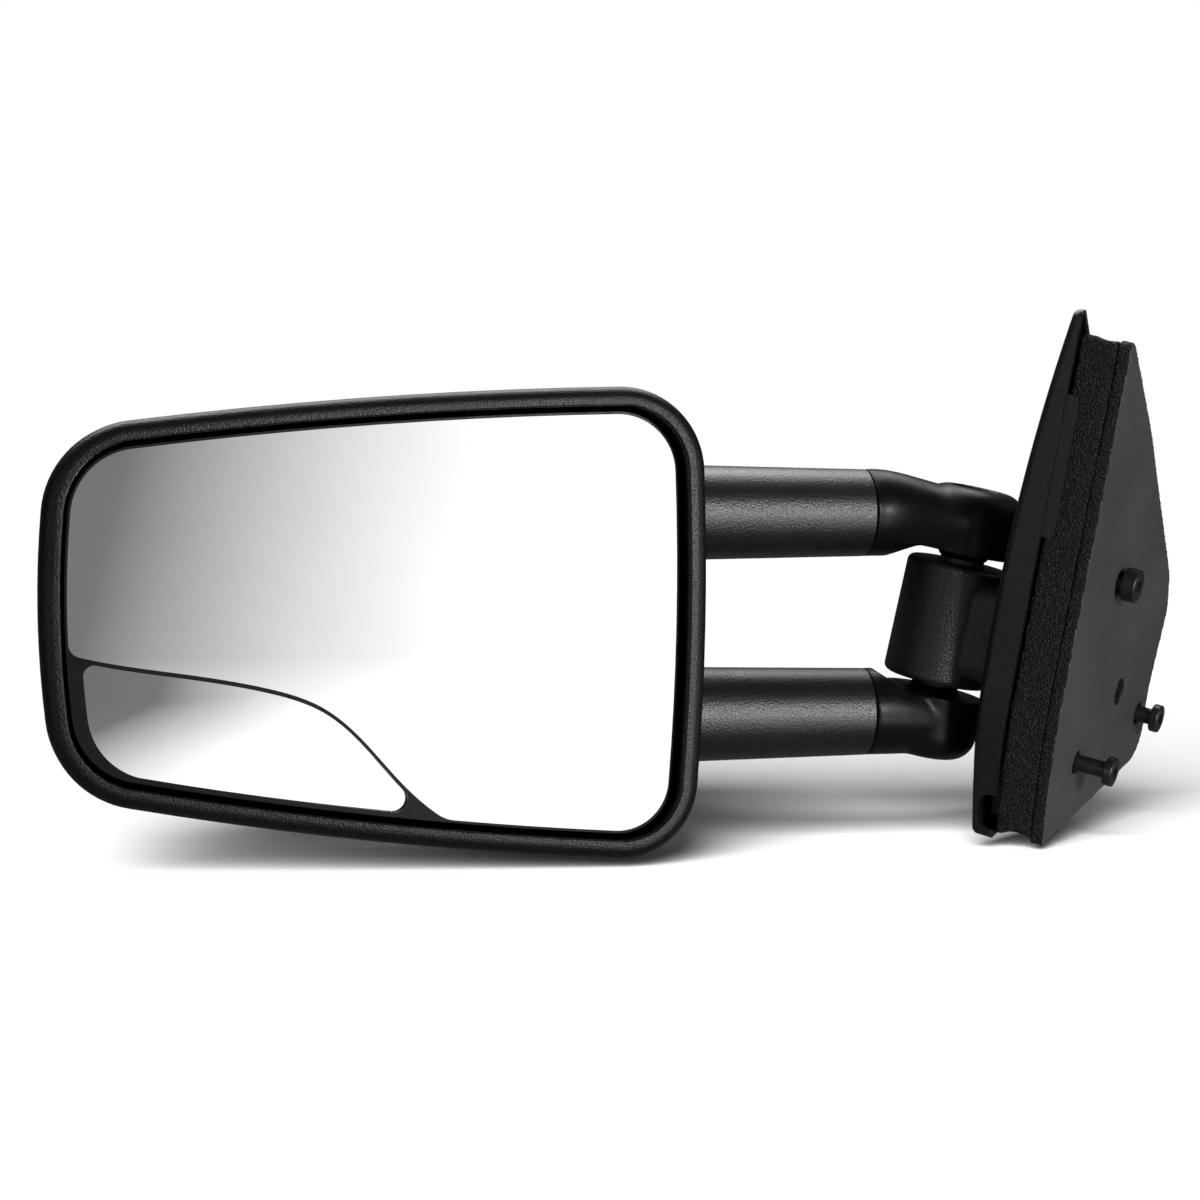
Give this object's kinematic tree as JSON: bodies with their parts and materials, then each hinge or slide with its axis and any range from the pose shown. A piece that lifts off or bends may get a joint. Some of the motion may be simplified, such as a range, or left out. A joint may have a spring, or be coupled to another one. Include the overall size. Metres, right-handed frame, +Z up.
{
  "type": "towing mirror",
  "caption": "Extending and folding side mirror for towing: wide framed head with a flat glass and a convex spot glass on twin arm tubes, hinged on a leaning door base.",
  "frame": {"origin": "on the flat foam face that meets the door, straight inboard of the middle of the fold hub", "axes": "+X inboard along the two arm tubes, +Y forward, +Z up; the glass looks towards -Y"},
  "size_m": [0.5655, 0.189, 0.2467],
  "materials": {
    "grained_plastic": "fine moulded grain",
    "satin_plastic": "satin",
    "coated_casting": "fine texture coat",
    "cast_metal": "as cast",
    "porous_foam": "open cell",
    "foam_skin": "smooth skin",
    "black_bolt": "black oxide",
    "bush_nylon": "satin",
    "zinc_steel": "zinc plated",
    "spring_steel": "oiled",
    "coated_tube": "smooth coat",
    "mirror_glass": "polished",
    "pad_foam": "closed cell foam"
  },
  "bodies": {
    "base": {"base_cover": "grained_plastic", "base_bracket": "coated_casting", "foam_core": "porous_foam", "foam_face": "foam_skin", "upper_mounting_bolt": "black_bolt", "front_mounting_bolt": "black_bolt", "lower_mounting_bolt": "black_bolt", "upper_pivot_bush": "bush_nylon", "lower_pivot_bush": "bush_nylon", "cover_screws": "black_bolt"},
    "arms": {"upper_elbow": "satin_plastic", "lower_elbow": "satin_plastic", "pivot_bolt": "zinc_steel", "pivot_nut": "zinc_steel", "disc_springs": "spring_steel", "upper_pivot_cap": "satin_plastic", "lower_pivot_cap": "satin_plastic", "upper_inner_tube": "coated_tube", "lower_inner_tube": "coated_tube", "upper_tube_stop": "bush_nylon", "lower_tube_stop": "bush_nylon", "tube_set_screws": "black_bolt"},
    "head": {"upper_sleeve": "grained_plastic", "lower_sleeve": "grained_plastic", "upper_inboard_bush": "bush_nylon", "upper_outboard_bush": "bush_nylon", "lower_inboard_bush": "bush_nylon", "lower_outboard_bush": "bush_nylon", "head_frame": "cast_metal", "frame_screws": "zinc_steel", "ball_stud": "zinc_steel", "rear_housing": "grained_plastic", "housing_screws": "black_bolt", "bezel": "grained_plastic"},
    "swivel": {"swivel_liner": "bush_nylon"},
    "glass": {"swivel_socket": "satin_plastic", "socket_clip": "spring_steel", "socket_screws": "zinc_steel", "glass_carrier": "satin_plastic", "main_pad": "pad_foam", "spot_pad": "pad_foam", "main_glass": "mirror_glass", "spot_glass": "mirror_glass"}
  },
  "joints": [
    {"name": "fold", "type": "hinge", "parent": "base", "child": "arms", "pos_m": [-0.05374, 0.04509, 0.0162], "axis": [0.1723, -0.1446, 0.9744], "range_deg": [-60, 48]},
    {"name": "extend", "type": "slide", "parent": "arms", "child": "head", "axis": [-1, 0, 0], "range_m": [0, 0.092]},
    {"name": "glass_pan", "type": "hinge", "parent": "head", "child": "swivel", "pos_m": [-0.336, 0.0145, 0.0185], "axis": [0, 0, 1], "range_deg": [-6.5, 6.5]},
    {"name": "glass_tilt", "type": "hinge", "parent": "swivel", "child": "glass", "pos_m": [-0.336, 0.0145, 0.0185], "axis": [1, 0, 0], "range_deg": [-6, 6]}
  ]
}
